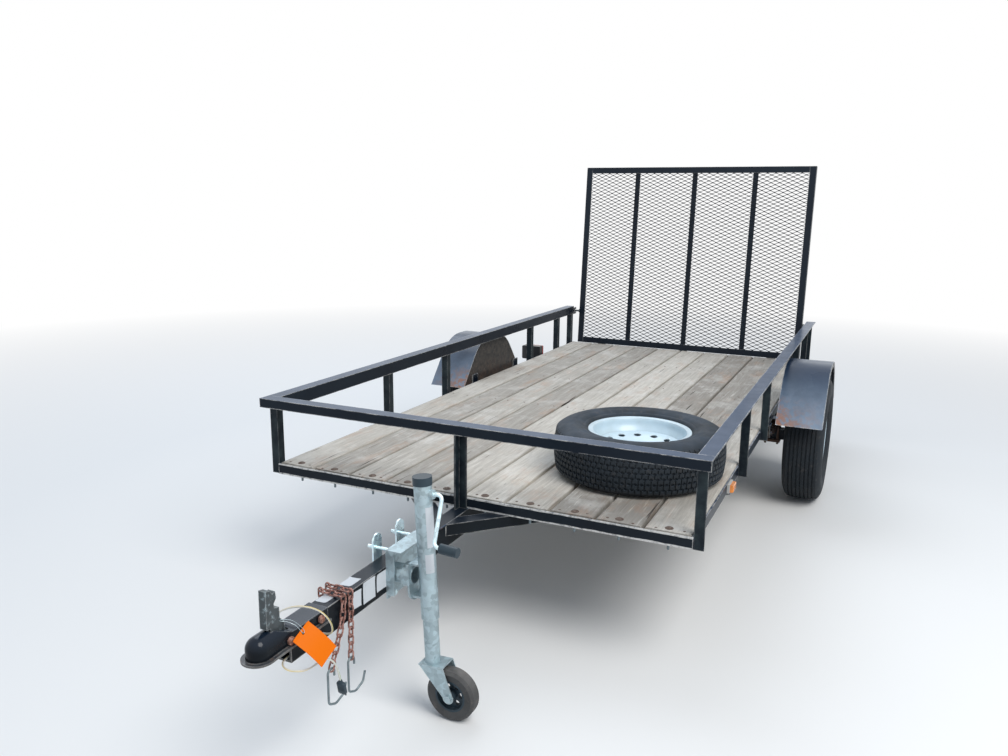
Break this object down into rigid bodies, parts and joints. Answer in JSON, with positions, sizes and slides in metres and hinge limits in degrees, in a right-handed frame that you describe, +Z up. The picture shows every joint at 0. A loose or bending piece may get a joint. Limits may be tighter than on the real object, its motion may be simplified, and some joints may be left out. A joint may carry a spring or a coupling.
{
  "type": "utility trailer",
  "caption": "Single-axle open utility trailer with a plank deck, railed sides, a drop-down mesh ramp gate, a ball coupler, a swing-up tongue jack and a spare wheel on the deck.",
  "frame": {"origin": "on the ground, at the middle of the whole trailer's length and width", "axes": "+X forward towards the coupler, +Y to the trailer's left, +Z up; the wheels and the jack wheel stand on Z = 0"},
  "size_m": [4.2124, 1.998, 1.6405],
  "materials": {
    "frame_paint": "worn semi-gloss black enamel with rust at the edges",
    "deck_wood": "weathered grey-brown sawn boards",
    "tyre_rubber": "matt",
    "wheel_white": "satin white enamel",
    "hub_metal": "dull, lightly rusted",
    "axle_paint": "worn black enamel",
    "spring_steel": "dull with a film of rust",
    "zinc": "dull zinc plate",
    "bolt_rust": "rusty",
    "coupler_zinc": "worn zinc plate with rust patches",
    "coupler_paint": "glossy black enamel, worn to metal at the brim",
    "chain_rust": "rusted all over",
    "hook_steel": "dull zinc-plated wire",
    "wire_sheath": "matt wire sheaths of several colours",
    "lamp_black": "matt",
    "lens_red": "glossy",
    "lens_amber": "glossy",
    "jack_black": "matt",
    "caster_rubber": "matt"
  },
  "bodies": {
    "chassis": {"bed_end_sills": "frame_paint", "bed_side_rails": "frame_paint", "bed_crossmembers": "frame_paint", "deck_planks": "deck_wood", "top_rail_front": "frame_paint", "top_rails_side": "frame_paint", "rail_posts": "frame_paint", "tongue_tube": "frame_paint", "tongue_braces": "frame_paint", "axle_beam": "axle_paint", "leaf_springs": "spring_steel", "spring_hangers": "frame_paint", "axle_u_bolts": "bolt_rust", "fenders": "frame_paint", "side_brackets": "frame_paint", "tail_lamps": "lamp_black", "tail_lamp_lenses": "lens_red", "side_markers": "lamp_black", "side_marker_lenses": "lens_amber", "gate_hinge_lugs": "frame_paint", "gate_latch_keepers": "frame_paint", "spare_tyre": "tyre_rubber", "spare_rim": "wheel_white", "coupler_body": "coupler_paint", "coupler_latch": "coupler_zinc", "coupler_bolts": "bolt_rust", "jack_bracket": "zinc", "jack_clamp_straps": "zinc", "jack_clamp_bolts": "zinc", "safety_chains": "chain_rust", "chain_hooks": "hook_steel", "harness_loop_cord": "wire_sheath", "harness_lead_cord": "wire_sheath", "harness_plug": "lamp_black"},
    "wheel_left": {"road_tyre_left": "tyre_rubber", "road_rim_left": "wheel_white", "road_hub_left": "hub_metal"},
    "wheel_right": {"road_tyre_right": "tyre_rubber", "road_rim_right": "wheel_white", "road_hub_right": "hub_metal"},
    "gate": {"gate_stiles": "frame_paint", "gate_end_bars": "frame_paint", "gate_uprights": "frame_paint", "gate_mesh": "frame_paint", "gate_hinge_barrels": "frame_paint", "gate_latch_pins": "zinc"},
    "jack": {"jack_tube": "zinc", "jack_cap": "jack_black", "jack_crank": "zinc", "jack_crank_grip": "jack_black", "jack_swivel_plate": "zinc"},
    "jack_leg": {"jack_leg": "zinc"},
    "caster": {"jack_fork": "zinc"},
    "caster_wheel": {"jack_wheel_tyre": "caster_rubber", "jack_wheel_hub": "jack_black"}
  },
  "joints": [
    {"name": "wheel_left_spin", "type": "hinge", "parent": "chassis", "child": "wheel_left", "pos_m": [-0.79985, 0.91, 0.303], "axis": [0, 1, 0], "continuous": true},
    {"name": "wheel_right_spin", "type": "hinge", "parent": "chassis", "child": "wheel_right", "pos_m": [-0.79985, -0.91, 0.303], "axis": [0, 1, 0], "continuous": true},
    {"name": "gate_hinge", "type": "hinge", "parent": "chassis", "child": "gate", "pos_m": [-1.98885, 0, 0.447], "axis": [0, -1, 0], "range_deg": [0, 105]},
    {"name": "jack_swing", "type": "hinge", "parent": "chassis", "child": "jack", "pos_m": [1.55015, 0.14, 0.407], "axis": [0, -0.9985, -0.0541], "range_deg": [0, 90]},
    {"name": "jack_slide", "type": "slide", "parent": "jack", "child": "jack_leg", "axis": [0, 0.0541, -0.9985], "range_m": [-0.115, 0.135]},
    {"name": "caster_swivel", "type": "hinge", "parent": "jack_leg", "child": "caster", "pos_m": [1.55015, 0.14, 0.407], "axis": [0, -0.0541, 0.9985], "range_deg": [-90, 90]},
    {"name": "caster_wheel_spin", "type": "hinge", "parent": "caster", "child": "caster_wheel", "pos_m": [1.55015, 0.21712, 0.074], "axis": [1, 0, 0], "continuous": true}
  ]
}
